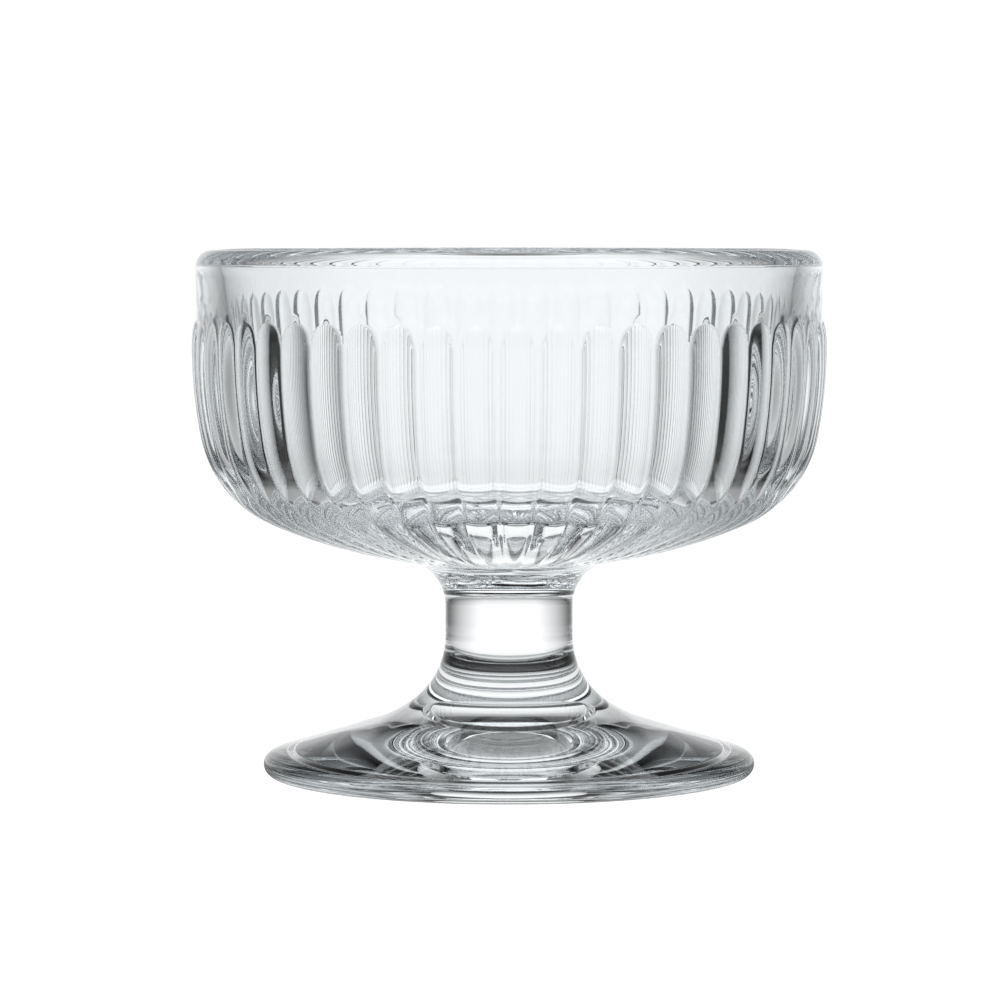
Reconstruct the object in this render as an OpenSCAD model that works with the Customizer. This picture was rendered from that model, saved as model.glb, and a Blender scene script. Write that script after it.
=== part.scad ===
// Footed dessert glass in clear pressed glass: a ribbed bowl on a short stem and a wide foot.

/* [Bowl] */
// Height of the bowl, from its seat on the stem to the rim
bowl_h = 53.3; // [48:0.1:60]
// Diameter outside the smooth band under the rim
band_d = 107; // [98:0.1:116]
// Diameter over the crests of the ribs, the widest of the glass
crest_d = 108.5; // [99:0.1:118]
// Height of the smooth band, from the rim to the tops of the ribs
band_h = 11.8; // [8:0.1:14]
// Thickness of the wall under the rim
wall_t = 4.2; // [4:0.1:5.2]
// Radius of the rim's outer edge
rim_outer_r = 3.1; // [1.5:0.1:3.3]
// Radius of the rim's inner edge
rim_inner_r = 0.8; // [0.3:0.1:1]
// Slope of the inside wall from upright, in degrees
wall_draft = 5.5; // [2:0.1:7]
// Glass between the seat and the lowest point of the inside
floor_t = 12.2; // [9:0.1:15]
// Radius of the inside hip, which turns the inside wall inwards
inside_hip_r = 5.9; // [4:0.1:9]
// Slope of the inside from upright where the inside hip runs into the floor's wider curve, in degrees
inside_turn = 71.5; // [55:0.5:80]
// Radius of the wider curve that runs out on the flat floor
floor_curve_r = 22; // [10:0.1:30]
// Slope of the ribbed side from upright where its slight curve meets the hip, in degrees
side_turn = 11; // [8:0.5:14]
// Radius of the hip, the tight curve between the bowl's side and its underside
hip_r = 20.6; // [18:0.1:24]
// Slope of the underside from upright where it leaves the hip, in degrees
hip_turn = 66.5; // [64:0.5:70]
// Slope of the underside from upright at its seat on the stem, in degrees
seat_turn = 82; // [79:0.5:85]

/* [Ribs] */
// Number of ribs round the bowl
rib_count = 52; // [40:1:56]
// Height of the rib crests over the valleys between them
rib_rise = 0.9; // [0.5:0.05:1.2]
// Width of the valley between two ribs at the bowl's widest
valley_w = 1.4; // [0.6:0.1:2.4]
// Height of the round outline at the top of a rib
arch_h = 2.9; // [2:0.1:4]
// Length over which the top of a rib rises to its full height
rib_tip_l = 5; // [4:0.1:6]
// Length over which a rib's lower end sinks into the underside at the seat
rib_fade_l = 3; // [2:0.1:5]
// Turn of the ribs about the glass's axis, in degrees
rib_turn = 1.5; // [0:0.1:6]

/* [Stem] */
// Diameter of the straight shaft
shaft_d = 21.9; // [18:0.1:26]
// Height of the straight shaft
shaft_h = 5.1; // [2:0.1:12]
// Radius of the flare from the shaft up to the bowl
neck_flare_r = 7.8; // [5:0.1:10]
// Radius of the flare from the shaft down to the foot
root_flare_r = 14; // [10:0.1:16]
// Slope at which the stem's lower flare meets the foot, in degrees
root_slope = 36; // [30:1:45]

/* [Foot] */
// Diameter of the foot
foot_d = 84.3; // [76:0.1:92]
// Radius of the foot's rounded edge
edge_r = 1.8; // [1.2:0.1:2.4]
// Slope of the foot's upper side, in degrees
foot_slope = 17.7; // [14:0.1:20]
// Radius of the sweep from the foot's upper side to the stem
foot_sweep_r = 23.3; // [18:0.1:28]
// Width of the flat ring that the foot rests on
rest_w = 3.3; // [2:0.1:5]
// Height of the hollow's outer edge over the table
hollow_edge_h = 0.6; // [0.3:0.1:1]
// Width of the slope from the resting ring up to the hollow's outer edge
hollow_edge_w = 1.5; // [0.8:0.1:3]
// Height of the hollow over the table, beside its middle recess
hollow_h = 2.9; // [1.5:0.1:3.5]
// Diameter of the recess in the middle of the hollow
recess_d = 20.6; // [14:0.1:28]
// Depth of the recess in the hollow
recess_h = 1.5; // [0.5:0.1:2]
// Width of the recess's sloping rim
recess_rim_w = 0.9; // [0.4:0.1:2]

/* [Hidden] */
$fn = 96;
glass = [0.86, 0.93, 0.92, 0.55];

// The foot's upper side, from its rounded edge to the stem, is a cone and then a sweep
edge_x = foot_d / 2 - edge_r;
root_r = shaft_d / 2 + root_flare_r * (1 - sin(root_slope));
sweep_r = root_r + foot_sweep_r * (sin(root_slope) - sin(foot_slope));
cone_top = [edge_x + edge_r * sin(foot_slope), edge_r + edge_r * cos(foot_slope)];
sweep_z = cone_top.y + (cone_top.x - sweep_r) * tan(foot_slope);

// Heights above the table of the foot's top, the straight shaft and the bowl's seat
root_z = sweep_z + foot_sweep_r * (cos(foot_slope) - cos(root_slope));
shaft_z = root_z + root_flare_r * cos(root_slope);
seat_r = shaft_d / 2 + neck_flare_r * (1 - cos(seat_turn));
seat_z = shaft_z + shaft_h + neck_flare_r * sin(seat_turn);

// The bowl's own heights are above its seat
band_r = band_d / 2;
crest_r = crest_d / 2;
inner_r = band_r - wall_t;
arch_z = bowl_h - band_h;

// Down the crest of a rib run three arcs: a slight side curve, the hip and a shallow underside.
// The first and last radius are the two that join the upright top of a rib to the seat.
side_h = arch_z - rib_tip_l;
side_w = crest_r - seat_r;
hip_w = hip_r * (cos(side_turn) - cos(hip_turn));
hip_h = hip_r * (sin(hip_turn) - sin(side_turn));
base_w_share = cos(hip_turn) - cos(seat_turn);
base_h_share = sin(seat_turn) - sin(hip_turn);
turn_share = base_w_share * sin(side_turn) - base_h_share * (1 - cos(side_turn));
side_curve_r = ((side_h - hip_h) * base_w_share - (side_w - hip_w) * base_h_share) / turn_share;
base_curve_r = ((side_w - hip_w) * sin(side_turn) - (side_h - hip_h) * (1 - cos(side_turn))) / turn_share;

// A rib takes this share of the distance from one rib to the next
rib_share = 1 - valley_w * rib_count / (360 * crest_r * PI / 180);
// Places of the mesh's upright lines across a rib, as shares of its half width
across_shares = [-1, -0.83, -0.37, 0.37, 0.83, 1];
// Places of the mesh's level lines down a rib's tip, as shares of its length
tip_shares = [1, 0.3, 0];
column_count = rib_count * len(across_shares);
side_steps = 2;
hip_steps = 6;
base_steps = 3;
rim_steps = 3;
inside_hip_steps = 6;
inside_floor_steps = 5;
arc_steps = 8;
edge_steps = 6;
overrun = 1;

// Height of a rib over its valley, as a share of the rise: 1 on the crest and 0 at its edges
rib_half_w = crest_r * PI / rib_count * rib_share;
rib_arc_r = (rib_half_w * rib_half_w + rib_rise * rib_rise) / (2 * rib_rise);
function swell(across) =
    1 - (rib_arc_r - sqrt(pow(rib_arc_r, 2) - pow(rib_half_w * across, 2))) / rib_rise;

// A point of an arc that leaves start at the slope from, and has come down and in to another slope
function arc_down(start, radius, from, slope) =
    start - radius * [cos(from) - cos(slope), sin(slope) - sin(from)];

// One point of the crest line where its slope from upright is a given angle, as [radius, height]
function crest_point(slope) =
    slope < side_turn ?
        [crest_r - side_curve_r * (1 - cos(slope)), side_h - side_curve_r * sin(slope)]
    : slope < hip_turn ?
        arc_down(side_end(), hip_r, side_turn, slope)
    :
        arc_down(hip_end(), base_curve_r, hip_turn, slope);
function side_end() = [crest_r - side_curve_r * (1 - cos(side_turn)), side_h - side_curve_r * sin(side_turn)];
function hip_end() = side_end() - [hip_w, hip_h];

// One point of the ribbed surface, where a valley lies square to the crest line below it
function ribbed_point(slope, across) =
    let (
        crest = crest_point(slope),
        size = crest.x / crest_r * min(1, (crest.x - seat_r) / rib_fade_l),
        depth = rib_rise * (1 - swell(across)) * size
    )
    crest - depth * [cos(slope), -sin(slope)];

// One point of a rib's tip: down is 0 on the round outline of the tip and 1 where the rib is full
function tip_point(down, across) =
    let (
        outline_z = arch_z - arch_h * (1 - sqrt(1 - pow(across, 2))),
        full_r = crest_r - rib_rise * (1 - swell(across)),
        risen = 1 - pow(1 - down, 3)
    )
    [band_r + (full_r - band_r) * risen, outline_z + (side_h - outline_z) * down];

function rim_point(angle) =
    [band_r - rim_outer_r * (1 - cos(angle)), bowl_h - rim_outer_r * (1 - sin(angle))];

// Slopes of the mesh's level lines, from the seat up to the tip
function slopes() = concat(
    [for (step = [0:base_steps - 1]) seat_turn + (hip_turn - seat_turn) * step / base_steps],
    [for (step = [0:hip_steps - 1]) hip_turn + (side_turn - hip_turn) * step / hip_steps],
    [for (step = [0:side_steps - 1]) side_turn * (1 - step / side_steps)]
);

// The rings of the outer skin from the seat to the rim, each with one [radius, height] a column
function skin_rings() = concat(
    [for (slope = slopes()) [for (across = across_shares) ribbed_point(slope, across)]],
    [for (down = tip_shares) [for (across = across_shares) tip_point(down, across)]],
    [for (step = [0:rim_steps]) [for (across = across_shares) rim_point(90 * step / rim_steps)]]
);

function placed(point, across, rib) =
    let (angle = -90 + rib_turn + (rib + rib_share * across / 2) * 360 / rib_count)
    [point.x * cos(angle), point.x * sin(angle), point.y];

module ribbed_skin() {
    rings = skin_rings();
    points = [
        for (ring = rings, rib = [0:rib_count - 1], i = [0:len(across_shares) - 1])
            placed(ring[i], across_shares[i], rib)
    ];
    sides = [
        for (ring = [0:len(rings) - 2], i = [0:column_count - 1])
            let (
                a = ring * column_count + i,
                b = ring * column_count + (i + 1) % column_count
            )
            each [[a, a + column_count, b], [b, a + column_count, b + column_count]]
    ];
    bottom = [for (i = [0:column_count - 1]) i];
    top = [for (i = [column_count - 1:-1:0]) (len(rings) - 1) * column_count + i];
    polyhedron(points = points, faces = concat([bottom, top], sides));
}

// Down the inside run a straight wall, two arcs and a flat floor. The wall takes the height that is left.
module inside_space() {
    hip_top_z = floor_t + floor_curve_r * (1 - sin(inside_turn))
        + inside_hip_r * (sin(inside_turn) - sin(wall_draft));
    hip_top = [inner_r - (bowl_h - rim_inner_r - hip_top_z) * tan(wall_draft), hip_top_z];
    hip_foot = arc_down(hip_top, inside_hip_r, wall_draft, inside_turn);
    rotate_extrude()
        polygon(concat(
            [[0, bowl_h + overrun], [inner_r + rim_inner_r, bowl_h + overrun]],
            [for (step = [0:arc_steps])
                let (angle = 90 * step / arc_steps)
                [inner_r + rim_inner_r * (1 - sin(angle)), bowl_h - rim_inner_r * (1 - cos(angle))]],
            [for (step = [0:inside_hip_steps])
                arc_down(hip_top, inside_hip_r, wall_draft,
                    wall_draft + (inside_turn - wall_draft) * step / inside_hip_steps)],
            [for (step = [1:inside_floor_steps])
                arc_down(hip_foot, floor_curve_r, inside_turn,
                    inside_turn + (90 - inside_turn) * step / inside_floor_steps)],
            [[0, floor_t]]
        ));
}

module bowl() {
    color(glass)
        translate([0, 0, seat_z])
            difference() {
                ribbed_skin();
                inside_space();
            }
}

module stem() {
    shaft_r = shaft_d / 2;
    root_flare = [
        for (step = [0:arc_steps])
            let (angle = root_slope + (90 - root_slope) * step / arc_steps)
            [shaft_r + root_flare_r * (1 - sin(angle)), shaft_z - root_flare_r * cos(angle)]
    ];
    neck_flare = [
        for (step = [0:arc_steps])
            let (angle = seat_turn * step / arc_steps)
            [
                shaft_r + neck_flare_r * (1 - cos(angle)),
                seat_z - neck_flare_r * (sin(seat_turn) - sin(angle))
            ]
    ];
    color(glass)
        rotate_extrude()
            polygon(concat([[0, root_z]], root_flare, neck_flare, [[0, seat_z]]));
}

module foot() {
    rest_r = edge_x - rest_w;
    edge = [
        for (step = [0:edge_steps])
            let (angle = -90 + (180 - foot_slope) * step / edge_steps)
            [edge_x + edge_r * cos(angle), edge_r + edge_r * sin(angle)]
    ];
    sweep = [
        for (step = [0:arc_steps])
            let (angle = foot_slope + (root_slope - foot_slope) * step / arc_steps)
            [
                root_r + foot_sweep_r * (sin(root_slope) - sin(angle)),
                root_z - foot_sweep_r * (cos(angle) - cos(root_slope))
            ]
    ];
    recess_r = recess_d / 2;
    hollow = [
        [0, hollow_h + recess_h],
        [recess_r, hollow_h + recess_h],
        [recess_r + recess_rim_w, hollow_h],
        [rest_r - hollow_edge_w, hollow_edge_h],
        [rest_r, 0]
    ];
    color(glass)
        rotate_extrude()
            polygon(concat(hollow, edge, sweep, [[0, root_z]]));
}

bowl();
stem();
foot();
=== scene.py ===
import math

import bpy
import numpy as np
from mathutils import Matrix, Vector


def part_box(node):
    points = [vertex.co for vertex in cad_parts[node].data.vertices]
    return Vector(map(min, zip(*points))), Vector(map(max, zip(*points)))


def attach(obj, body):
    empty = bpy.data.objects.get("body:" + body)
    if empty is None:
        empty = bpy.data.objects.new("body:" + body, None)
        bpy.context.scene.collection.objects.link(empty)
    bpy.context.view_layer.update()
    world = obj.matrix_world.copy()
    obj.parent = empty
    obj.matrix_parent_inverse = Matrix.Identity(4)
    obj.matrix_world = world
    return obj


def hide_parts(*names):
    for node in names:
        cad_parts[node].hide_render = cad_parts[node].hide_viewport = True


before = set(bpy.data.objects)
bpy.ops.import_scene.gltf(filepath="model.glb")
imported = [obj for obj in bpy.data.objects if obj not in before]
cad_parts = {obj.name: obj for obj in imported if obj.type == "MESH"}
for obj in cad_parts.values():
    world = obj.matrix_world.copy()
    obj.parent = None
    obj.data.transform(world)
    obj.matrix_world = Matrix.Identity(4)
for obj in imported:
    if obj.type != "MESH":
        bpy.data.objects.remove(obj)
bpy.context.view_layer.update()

# Sizes of the glass, in metres and degrees. They are the solids' own, apart from the ribs: the solids'
# ribs rise 0.05 mm more, their valleys are flat and 0.2 mm wider, and they keep more of their rise towards
# the seat.
RIB_COUNT = 52
RIB_TURN = 1.5
BAND_R = 0.0535
CREST_R = 0.05425
RIB_RISE = 0.00085
VALLEY_W = 0.0012
ARCH_H = 0.0029
RIB_TIP_L = 0.005
RIB_FADE_L = 0.003
BAND_H = 0.0118
WALL_T = 0.0042
RIM_OUTER_R = 0.0031
RIM_INNER_R = 0.0008
WALL_DRAFT = 5.5
FLOOR_T = 0.0122
INSIDE_HIP_R = 0.0059
INSIDE_TURN = 71.5
FLOOR_CURVE_R = 0.022
SIDE_TURN = 11
HIP_R = 0.0206
HIP_TURN = 66.5
SEAT_TURN = 82
SHAFT_R = 0.01095
NECK_FLARE_R = 0.0078
ROOT_FLARE_R = 0.014
ROOT_SLOPE = 36
FOOT_R = 0.04215
EDGE_R = 0.0018
FOOT_SLOPE = 17.7
FOOT_SWEEP_R = 0.0233
REST_W = 0.0033
HOLLOW_EDGE_H = 0.0006
HOLLOW_EDGE_W = 0.0015
HOLLOW_H = 0.0029
RECESS_R = 0.0103
RECESS_H = 0.0015
RECESS_RIM_W = 0.0009

# Fine edges that the solids don't have: the rim's rounding starts with a slight bend under a low ridge,
# and goes on over it from RIM_ARC_START. The corners of the hollow under the foot are short curves.
RIM_EDGE_TURN = 11
RIM_RIDGE_H = 0.00005
RIM_RIDGE_W = 0.0006
RIDGE_SHARES = (0.17, 0.33, 0.5, 0.67, 0.83)
RIM_ARC_START = 17
HOLLOW_SOFT = 0.0004

# The mesh's columns: so many to a rib on the bowl, and so many round the stem and the foot
RIB_COLUMNS = 20
ROUND_COLUMNS = 256

# The mesh's rings along each stretch of the profiles
SIDE_RINGS = 22
HIP_RINGS = 50
BASE_RINGS = 34
TIP_RINGS = 30
BAND_RINGS = 6
RIM_RINGS = 16
LIP_RINGS = 9
WALL_RINGS = 20
CURVE_RINGS = 30
FLOOR_RINGS = 16
ROOT_RINGS = 40
SHAFT_RINGS = 5
SWEEP_RINGS = 20
EDGE_RINGS = 24
CONE_RINGS = 12
CORNER_RINGS = 7

# Heights of the seams and the rim come from the solids
seat_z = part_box("bowl")[0].z
rim_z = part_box("bowl")[1].z
root_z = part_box("stem")[0].z

inner_r = BAND_R - WALL_T
seat_r = SHAFT_R + NECK_FLARE_R * (1 - math.cos(math.radians(SEAT_TURN)))
edge_x = FOOT_R - EDGE_R
hollow_start_r = RECESS_R / 8


def sin(degrees):
    return np.sin(np.radians(degrees))


def cos(degrees):
    return np.cos(np.radians(degrees))


def arc_down(start, radius, angles):
    """Points of an arc from start that curves in under the glass. The angles are slopes from upright."""
    r = start[0] - radius * (cos(angles[0]) - cos(angles))
    z = start[1] - radius * (sin(angles) - sin(angles[0]))
    return np.stack([r, z], 1)


def crest_line():
    """The crest of a rib from the upright tip down to the seat: side curve, hip and shallow underside."""
    side_z = rim_z - BAND_H - RIB_TIP_L
    side_h = side_z - seat_z
    side_w = CREST_R - seat_r
    hip_w = HIP_R * (cos(SIDE_TURN) - cos(HIP_TURN))
    hip_h = HIP_R * (sin(HIP_TURN) - sin(SIDE_TURN))
    base_w = cos(HIP_TURN) - cos(SEAT_TURN)
    base_h = sin(SEAT_TURN) - sin(HIP_TURN)
    turn = base_w * sin(SIDE_TURN) - base_h * (1 - cos(SIDE_TURN))
    side_r = ((side_h - hip_h) * base_w - (side_w - hip_w) * base_h) / turn
    base_r = ((side_w - hip_w) * sin(SIDE_TURN) - (side_h - hip_h) * (1 - cos(SIDE_TURN))) / turn
    side_angles = np.linspace(0, SIDE_TURN, SIDE_RINGS)
    hip_angles = np.linspace(SIDE_TURN, HIP_TURN, HIP_RINGS)
    base_angles = np.linspace(HIP_TURN, SEAT_TURN, BASE_RINGS)
    side = arc_down((CREST_R, side_z), side_r, side_angles)
    hip = arc_down(side[-1], HIP_R, hip_angles)
    base = arc_down(hip[-1], base_r, base_angles)
    points = np.concatenate([side, hip[1:], base[1:]])
    slopes = np.concatenate([side_angles, hip_angles[1:], base_angles[1:]])
    return points, slopes


def drop_of_arc(radius, off):
    """How far an arc falls below its top at a distance off it."""
    return radius - np.sqrt(np.clip(radius**2 - off**2, 0, None))


def swell(off, half_pitch):
    """Height of a rib as a share of its rise, off its crest: a round crest runs into a round valley."""
    lean = 2 * math.atan(RIB_RISE / half_pitch)
    crest_r = (half_pitch - VALLEY_W / 2) / math.sin(lean)
    valley_r = VALLEY_W / 2 / math.sin(lean)
    crest = drop_of_arc(crest_r, off)
    valley = RIB_RISE - drop_of_arc(valley_r, half_pitch - off)
    return 1 - np.where(off < half_pitch - VALLEY_W / 2, crest, valley) / RIB_RISE


def inside_line():
    """The inside from the lip down the sloping wall, round its hip and over the flat floor to the axis."""
    lip_z = rim_z - RIM_INNER_R
    hip_h = INSIDE_HIP_R * (sin(INSIDE_TURN) - sin(WALL_DRAFT))
    hip_z = seat_z + FLOOR_T + FLOOR_CURVE_R * (1 - sin(INSIDE_TURN)) + hip_h
    hip_r = inner_r - (lip_z - hip_z) * math.tan(math.radians(WALL_DRAFT))
    wall = np.linspace((inner_r, lip_z), (hip_r, hip_z), WALL_RINGS)
    hip = arc_down(wall[-1], INSIDE_HIP_R, np.linspace(WALL_DRAFT, INSIDE_TURN, HIP_RINGS))
    curve = arc_down(hip[-1], FLOOR_CURVE_R, np.linspace(INSIDE_TURN, 90, CURVE_RINGS))
    floor = np.linspace(curve[-1], (0, curve[-1][1]), FLOOR_RINGS)
    return np.concatenate([wall, hip[1:], curve[1:], floor[1:]])


def rim_line():
    """The rim as [radius, height] points from the band's top over the ridge and the rounding to the lip."""
    edge_z = rim_z - RIM_OUTER_R * (1 - sin(RIM_EDGE_TURN))
    points = [(BAND_R, z) for z in np.linspace(rim_z - BAND_H, edge_z - RIM_RIDGE_W / 2, BAND_RINGS)[1:]]
    for share in RIDGE_SHARES:
        z = edge_z + RIM_RIDGE_W * (share - 0.5)
        inset = RIM_OUTER_R * (cos(RIM_EDGE_TURN) - np.sqrt(1 - (1 - (rim_z - z) / RIM_OUTER_R) ** 2))
        points.append((BAND_R - max(0, inset) + RIM_RIDGE_H * sin(180 * share) ** 2, z))
    for a in np.linspace(RIM_ARC_START, 90, RIM_RINGS):
        r = BAND_R - RIM_OUTER_R * (cos(RIM_EDGE_TURN) - cos(a))
        points.append((r, rim_z - RIM_OUTER_R * (1 - sin(a))))
    for a in np.linspace(0, 90, LIP_RINGS):
        points.append((inner_r + RIM_INNER_R * (1 - sin(a)), rim_z - RIM_INNER_R * (1 - cos(a))))
    return points


def bowl_grid():
    """Rings of the bowl up the ribbed skin, over the rim and down the inside, as [ring, column, xyz]."""
    columns = RIB_COUNT * RIB_COLUMNS
    pitch = 2 * math.pi / RIB_COUNT
    step = (np.arange(columns) + 0.5) / RIB_COLUMNS
    angles = np.radians(-90 + RIB_TURN) + step * pitch
    half_pitch = CREST_R * math.pi / RIB_COUNT
    off = np.abs((step + 0.5) % 1 - 0.5) * 2 * half_pitch
    across = np.clip(off / (half_pitch - VALLEY_W / 2), 0, 1)
    full = swell(off, half_pitch)

    rings = []
    points, slopes = crest_line()
    for (r, z), slope in zip(points[::-1], slopes[::-1]):
        size = (r / CREST_R) ** 2 * min(1, (r - seat_r) / RIB_FADE_L)
        depth = RIB_RISE * (1 - full) * size
        rings.append((r - depth * cos(slope), z + depth * sin(slope)))

    arch_z = rim_z - BAND_H
    side_z = arch_z - RIB_TIP_L
    outline_z = arch_z - ARCH_H * (1 - np.sqrt(1 - across**2))
    for z in np.linspace(side_z, arch_z, TIP_RINGS)[1:]:
        down = np.clip((outline_z - z) / (outline_z - side_z), 0, 1)
        full_r = CREST_R - RIB_RISE * (1 - full)
        rings.append((BAND_R + (full_r - BAND_R) * (1 - (1 - down) ** 3), z + 0 * across))

    for r, z in [*rim_line(), *inside_line()[1:-1]]:
        rings.append((r + 0 * across, z + 0 * across))
    radius = np.array([r for r, z in rings])
    height = np.array([z for r, z in rings])
    return np.stack([radius * np.cos(angles), radius * np.sin(angles), height], 2)


def turned_grid(profile):
    """Rings of a turned shape from its profile of [radius, height] points, as [ring, column, xyz]."""
    angles = 2 * math.pi * np.arange(ROUND_COLUMNS) / ROUND_COLUMNS
    r, z = np.array(profile).T
    return np.stack([r[:, None] * np.cos(angles), r[:, None] * np.sin(angles), z[:, None] + 0 * angles], 2)


def stem_profile():
    """From the flare on the foot up the shaft to the flare under the bowl."""
    shaft_z = root_z + ROOT_FLARE_R * cos(ROOT_SLOPE)
    flare = [
        (SHAFT_R + ROOT_FLARE_R * (1 - sin(a)), shaft_z - ROOT_FLARE_R * cos(a))
        for a in np.linspace(ROOT_SLOPE, 90, ROOT_RINGS)
    ]
    neck_z = seat_z - NECK_FLARE_R * sin(SEAT_TURN)
    shaft = [(SHAFT_R, z) for z in np.linspace(shaft_z, neck_z, SHAFT_RINGS)[1:-1]]
    neck = [
        (SHAFT_R + NECK_FLARE_R * (1 - cos(a)), neck_z + NECK_FLARE_R * sin(a))
        for a in np.linspace(0, SEAT_TURN, HIP_RINGS)
    ]
    return flare + shaft + neck


def softened(corners, reach):
    """The line through corners, where each inner corner is a short curve that starts reach before it."""
    corners = [np.array(corner) for corner in corners]
    points = [corners[0]]
    for before, corner, after in zip(corners, corners[1:], corners[2:]):
        start = corner + (before - corner) * reach / np.linalg.norm(before - corner)
        end = corner + (after - corner) * reach / np.linalg.norm(after - corner)
        for t in np.linspace(0, 1, CORNER_RINGS):
            points.append(start * (1 - t) ** 2 + 2 * corner * t * (1 - t) + end * t**2)
    return points + [corners[-1]]


def foot_profile():
    """From the middle of the hollow out over the resting ring, round the edge and up to the stem."""
    root_r = SHAFT_R + ROOT_FLARE_R * (1 - sin(ROOT_SLOPE))
    sweep = [
        (
            root_r + FOOT_SWEEP_R * (sin(ROOT_SLOPE) - sin(a)),
            root_z - FOOT_SWEEP_R * (cos(a) - cos(ROOT_SLOPE)),
        )
        for a in np.linspace(FOOT_SLOPE, ROOT_SLOPE, SWEEP_RINGS)
    ]
    edge = [
        (edge_x + EDGE_R * cos(a), EDGE_R + EDGE_R * sin(a))
        for a in np.linspace(-90, 90 - FOOT_SLOPE, EDGE_RINGS)
    ]
    cone = list(map(tuple, np.linspace(edge[-1], sweep[0], CONE_RINGS)[1:-1]))
    rest_r = edge_x - REST_W
    hollow = softened(
        [
            (hollow_start_r, HOLLOW_H + RECESS_H),
            (RECESS_R, HOLLOW_H + RECESS_H),
            (RECESS_R + RECESS_RIM_W, HOLLOW_H),
            (rest_r - HOLLOW_EDGE_W, HOLLOW_EDGE_H),
            (rest_r, 0),
            edge[0],
        ],
        HOLLOW_SOFT,
    )
    return hollow + edge[1:] + cone + sweep


def tangent(grid, axis, wraps):
    """Direction along one axis of the grid, from the parabola through each point and its two neighbours."""
    if wraps:
        ahead = np.roll(grid, -1, axis) - grid
        behind = grid - np.roll(grid, 1, axis)
    else:
        gaps = np.diff(grid, axis=axis)
        ahead = np.concatenate([gaps, gaps[-1:]])
        behind = np.concatenate([gaps[:1], gaps])
    a = np.linalg.norm(ahead, axis=2, keepdims=True)
    b = np.linalg.norm(behind, axis=2, keepdims=True)
    return ahead / a * b + behind / b * a


def glass_piece(name, grid, ends):
    """A closed piece from rings of columns. Each of its two ends is a flat seam or a point on the axis."""
    rings, columns = grid.shape[:2]
    normals = np.cross(tangent(grid, 1, True), tangent(grid, 0, False))
    normals /= np.linalg.norm(normals, axis=2, keepdims=True)
    verts = list(map(tuple, grid.reshape(-1, 3)))
    faces, corner_normals, slots = [], [], []
    flat = normals.reshape(-1, 3)
    for i in range(rings - 1):
        for j in range(columns):
            k = (j + 1) % columns
            quad = (i * columns + j, i * columns + k, (i + 1) * columns + k, (i + 1) * columns + j)
            faces.append(quad)
            corner_normals.extend(flat[list(quad)])
            slots.append(0)
    for ring, end in ((0, ends[0]), (rings - 1, ends[1])):
        z = grid[ring, 0, 2] if end == "seam" else grid[ring, :, 2].mean()
        pole = len(verts)
        facing = np.array([0, 0, math.copysign(1.0, normals[ring, 0, 2])])
        if end == "seam":
            facing = np.array([0, 0, -1.0 if ring == 0 else 1.0])
        verts.append((0.0, 0.0, float(z)))
        for j in range(columns):
            a = ring * columns + j
            b = ring * columns + (j + 1) % columns
            faces.append((pole, b, a) if ring == 0 else (pole, a, b))
            pair = (flat[b], flat[a]) if ring == 0 else (flat[a], flat[b])
            corner_normals.extend([facing] * 3 if end == "seam" else [facing, *pair])
            slots.append(1 if end == "seam" else 0)
    mesh = bpy.data.meshes.new(name)
    mesh.from_pydata(verts, [], faces)
    mesh.polygons.foreach_set("material_index", slots)
    mesh.polygons.foreach_set("use_smooth", [True] * len(faces))
    mesh.normals_split_custom_set([tuple(n) for n in corner_normals])
    mesh.validate()
    piece = bpy.data.objects.new(name, mesh)
    bpy.context.scene.collection.objects.link(piece)
    return piece


bowl = glass_piece("clear_bowl", bowl_grid(), ("seam", "point"))
stem = glass_piece("clear_stem", turned_grid(stem_profile()), ("seam", "seam"))
foot = glass_piece("clear_foot", turned_grid(foot_profile()), ("point", "seam"))

# The studio as the glass sees it, where 1 is white. Angles are in degrees round the glass from straight
# behind it. A white sweep stands behind and a soft light hangs over it. The sides are black. The room on
# the camera's side is dim, with a lighter stretch half-way up.
WHITE = 1.1
SWEEP_HALF_WIDTH = 38
FLOOR_HALF_WIDTH = 40
SWEEP_SOFT = 44
TOP_HALF_WIDTH = 70
ROOM_START = 112
SOFT = 20

# Brightness of each by the height over the horizon, in degrees
ZENITH = 90
SWEEP_LIGHT = [(0, 1.08), (8, 0.9), (18, 0.45), (25, 0.07), (34, 0)]
TOP_LIGHT = [(0, 0), (38, 0), (45, 1.3), (65, 1.3), (90, 1)]
ROOM_LIGHT = [(0, 0.5), (8, 0.15), (20, 0.1), (40, 0.5), (50, 0.9), (60, 0.35), (70, 0), (90, 0)]

# Painted light on the floor: brightness of the floor behind, beside and in front of the glass by the
# distance from its axis, in metres. It has a painted shadow under the foot, apart from a painted ring of
# light where the foot gathers light.
FLOOR_END = 0.5
FLOOR_BEHIND = [
    (0, 0.03), (0.025, 0.04), (0.03, 0.9), (0.036, 0.12), (0.041, 0.25), (0.046, 1), (0.065, 1.15),
    (0.2, 1.12), (0.4, 1.08),
]
FLOOR_SIDES = [
    (0, 0.02), (0.02, 0.03), (0.028, 0.7), (0.036, 0.05), (0.05, 0.4), (0.08, 0.35), (0.15, 0.12),
    (0.25, 0.02),
]
FLOOR_FRONT = [(0, 0), (0.037, 0.02), (0.045, 1.2), (0.15, 1.2), (0.25, 0.5)]

# Half the floor's width, and how far it lies under the foot, in metres
FLOOR_HALF = 3.0
FLOOR_DROP = 0.0002


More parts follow.
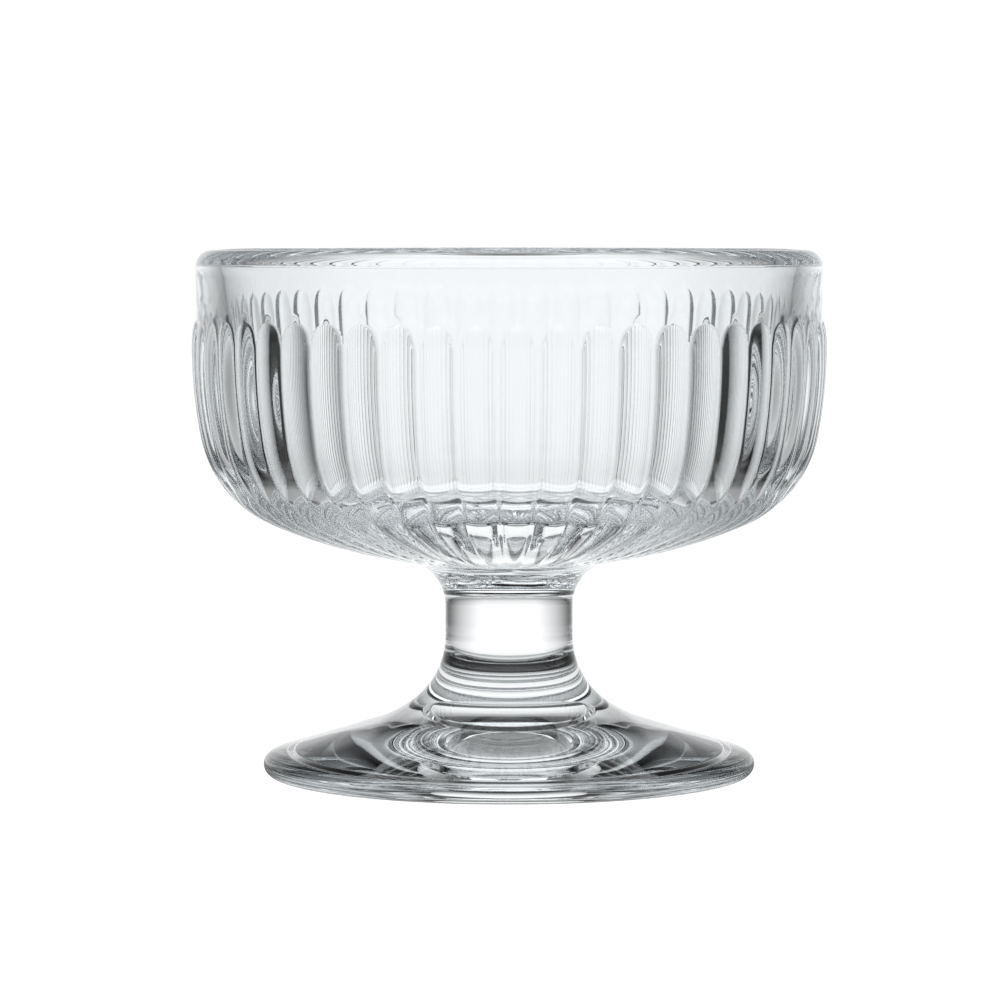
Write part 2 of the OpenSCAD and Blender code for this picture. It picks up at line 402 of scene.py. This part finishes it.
class Graph:
    """Short calls for building a node tree."""

    def __init__(self, tree):
        self.nodes, self.links = tree.nodes, tree.links
        self.nodes.clear()

    def add(self, kind, **inputs):
        """A node with its inputs set or linked."""
        node = self.nodes.new(kind)
        for name, value in inputs.items():
            socket = node.inputs[name]
            if isinstance(value, bpy.types.NodeSocket):
                self.links.new(value, socket)
            else:
                socket.default_value = value
        return node

    def maths(self, operation, *values, clamp=False):
        node = self.nodes.new("ShaderNodeMath")
        node.operation = operation
        node.use_clamp = clamp
        for socket, value in zip(node.inputs, values):
            if isinstance(value, bpy.types.NodeSocket):
                self.links.new(value, socket)
            else:
                socket.default_value = value
        return node.outputs[0]

    def curve(self, value, high, stops):
        """Brightness along value, from 0 to high, through stops of (place, brightness)."""
        share = self.maths("DIVIDE", value, high, clamp=True)
        ramp = self.nodes.new("ShaderNodeValToRGB")
        ramp.color_ramp.interpolation = "EASE"
        self.links.new(share, ramp.inputs[0])
        spots = ramp.color_ramp.elements
        while len(spots) < len(stops):
            spots.new(1)
        for spot, (place, light) in zip(spots, stops):
            spot.position = place / high
            spot.color = (light, light, light, 1)
        return ramp.outputs[0]

    def inside(self, value, half, soft):
        """1 where value is nearer to zero than half, fading to 0 over soft."""
        off = self.maths("ABSOLUTE", value)
        return self.maths("DIVIDE", self.maths("SUBTRACT", half + soft / 2, off), soft, clamp=True)

    def outside(self, value, half, soft):
        """1 where value is farther from zero than half, fading to 0 over soft."""
        return self.maths("SUBTRACT", 1, self.inside(value, half, soft))

    def seen_white(self, light):
        """Plain white where the camera looks straight at it, and light where the glass sees it."""
        path = self.nodes.new("ShaderNodeLightPath")
        mix = self.nodes.new("ShaderNodeMix")
        mix.data_type = "FLOAT"
        self.links.new(path.outputs["Is Camera Ray"], mix.inputs[0])
        self.links.new(light, mix.inputs[2])
        mix.inputs[3].default_value = WHITE
        return mix.outputs[0]


def new_material(name):
    material = bpy.data.materials.new(name)
    material.use_nodes = True
    return material, Graph(material.node_tree)


# Clear glass with a faint blue tint
GLASS_IOR = 1.52
GLASS_TINT = (0.98, 0.988, 0.992, 1)


def glass_material():
    material, g = new_material("clear_glass")
    glass = g.add("ShaderNodeBsdfGlass", IOR=GLASS_IOR, Roughness=0, Color=GLASS_TINT)
    g.add("ShaderNodeOutputMaterial", Surface=glass.outputs[0])
    return material


def seam_material():
    """The flat seams let light through, so the three pieces look like the one piece of glass they are."""
    material, g = new_material("seam_in_the_glass")
    g.add("ShaderNodeOutputMaterial", Surface=g.add("ShaderNodeBsdfTransparent").outputs[0])
    return material


clear, seam = glass_material(), seam_material()
for piece, node in ((bowl, "bowl"), (stem, "stem"), (foot, "foot")):
    piece.data.materials.append(clear)
    piece.data.materials.append(seam)
    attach(piece, "root")
    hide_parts(node)

# The camera stands in front of the glass, a little above its rim, and looks slightly down
CAMERA_D = 0.71616
CAMERA_Z = 0.09423
CAMERA_PITCH = 3.776
FOCAL_PX = 4185.75
AXIS_X_PX = 509
PHOTO_PX = 1000
SENSOR_MM = 36

camera = bpy.data.objects.new("camera", bpy.data.cameras.new("camera"))
bpy.context.scene.collection.objects.link(camera)
camera.location = (0, -CAMERA_D, CAMERA_Z)
camera.rotation_euler = (math.radians(90 - CAMERA_PITCH), 0, 0)
camera.data.sensor_width = SENSOR_MM
camera.data.lens = SENSOR_MM * FOCAL_PX / PHOTO_PX
camera.data.shift_x = (PHOTO_PX / 2 - AXIS_X_PX) / PHOTO_PX
camera.data.clip_start = 0.05
camera.data.clip_end = 20
bpy.context.scene.camera = camera


def direction(graph, x, y):
    """Degrees round the upright axis from straight behind the glass."""
    return graph.maths("MULTIPLY", graph.maths("ARCTAN2", x, y), 180 / math.pi)


def world_light():
    world = bpy.data.worlds.new("studio")
    bpy.context.scene.world = world
    world.use_nodes = True
    g = Graph(world.node_tree)
    place = g.add("ShaderNodeTexCoord")
    split = g.add("ShaderNodeSeparateXYZ", Vector=place.outputs["Generated"])
    azimuth = direction(g, split.outputs["X"], split.outputs["Y"])
    height = g.maths("MULTIPLY", g.maths("ARCSINE", split.outputs["Z"]), 180 / math.pi)
    in_sweep = g.inside(azimuth, SWEEP_HALF_WIDTH, SWEEP_SOFT)
    under_top = g.inside(azimuth, TOP_HALF_WIDTH, SOFT)
    in_room = g.outside(azimuth, ROOM_START, SOFT)
    sweep = g.maths("MULTIPLY", g.curve(height, ZENITH, SWEEP_LIGHT), in_sweep)
    top = g.maths("MULTIPLY", g.curve(height, ZENITH, TOP_LIGHT), under_top)
    room = g.maths("MULTIPLY", g.curve(height, ZENITH, ROOM_LIGHT), in_room)
    light = g.maths("ADD", g.maths("ADD", sweep, top), room)
    shine = g.add("ShaderNodeBackground", Color=(1, 1, 1, 1), Strength=g.seen_white(light))
    g.add("ShaderNodeOutputWorld", Surface=shine.outputs[0])


def floor_material():
    material, g = new_material("pale_floor_with_painted_shadow")
    place = g.add("ShaderNodeTexCoord")
    split = g.add("ShaderNodeSeparateXYZ", Vector=place.outputs["Object"])
    x, y = split.outputs["X"], split.outputs["Y"]
    azimuth = direction(g, x, y)
    far = g.maths("SQRT", g.maths("ADD", g.maths("POWER", x, 2), g.maths("POWER", y, 2)))
    behind = g.curve(far, FLOOR_END, FLOOR_BEHIND)
    sides = g.curve(far, FLOOR_END, FLOOR_SIDES)
    front = g.curve(far, FLOOR_END, FLOOR_FRONT)
    at_back = g.inside(azimuth, FLOOR_HALF_WIDTH, SWEEP_SOFT)
    at_front = g.outside(azimuth, ROOM_START, SOFT)
    light = g.maths("ADD", g.maths("MULTIPLY", at_back, g.maths("SUBTRACT", behind, sides)), sides)
    light = g.maths("ADD", g.maths("MULTIPLY", at_front, g.maths("SUBTRACT", front, sides)), light)
    # Painted light: the floor glows, with a painted shadow under the foot, a painted ring of light round it
    # and painted shade beside the glass, and looks plain white to the camera
    shine = g.add("ShaderNodeEmission", Color=(1, 1, 1, 1), Strength=g.seen_white(light))
    g.add("ShaderNodeOutputMaterial", Surface=shine.outputs[0])
    return material


def stage_floor():
    mesh = bpy.data.meshes.new("floor")
    corners = [(x * FLOOR_HALF, y * FLOOR_HALF, 0) for x, y in ((-1, -1), (1, -1), (1, 1), (-1, 1))]
    mesh.from_pydata(corners, [], [(0, 1, 2, 3)])
    floor = bpy.data.objects.new("floor", mesh)
    bpy.context.scene.collection.objects.link(floor)
    floor.location.z = -FLOOR_DROP
    mesh.materials.append(floor_material())


world_light()
stage_floor()

# Light passes many faces of the glass before it leaves it
GLASS_BOUNCES = 40
MIRROR_BOUNCES = 16

scene = bpy.context.scene
scene.view_settings.view_transform = "Standard"
scene.cycles.max_bounces = GLASS_BOUNCES
scene.cycles.transmission_bounces = GLASS_BOUNCES
scene.cycles.glossy_bounces = MIRROR_BOUNCES
scene.cycles.transparent_max_bounces = GLASS_BOUNCES
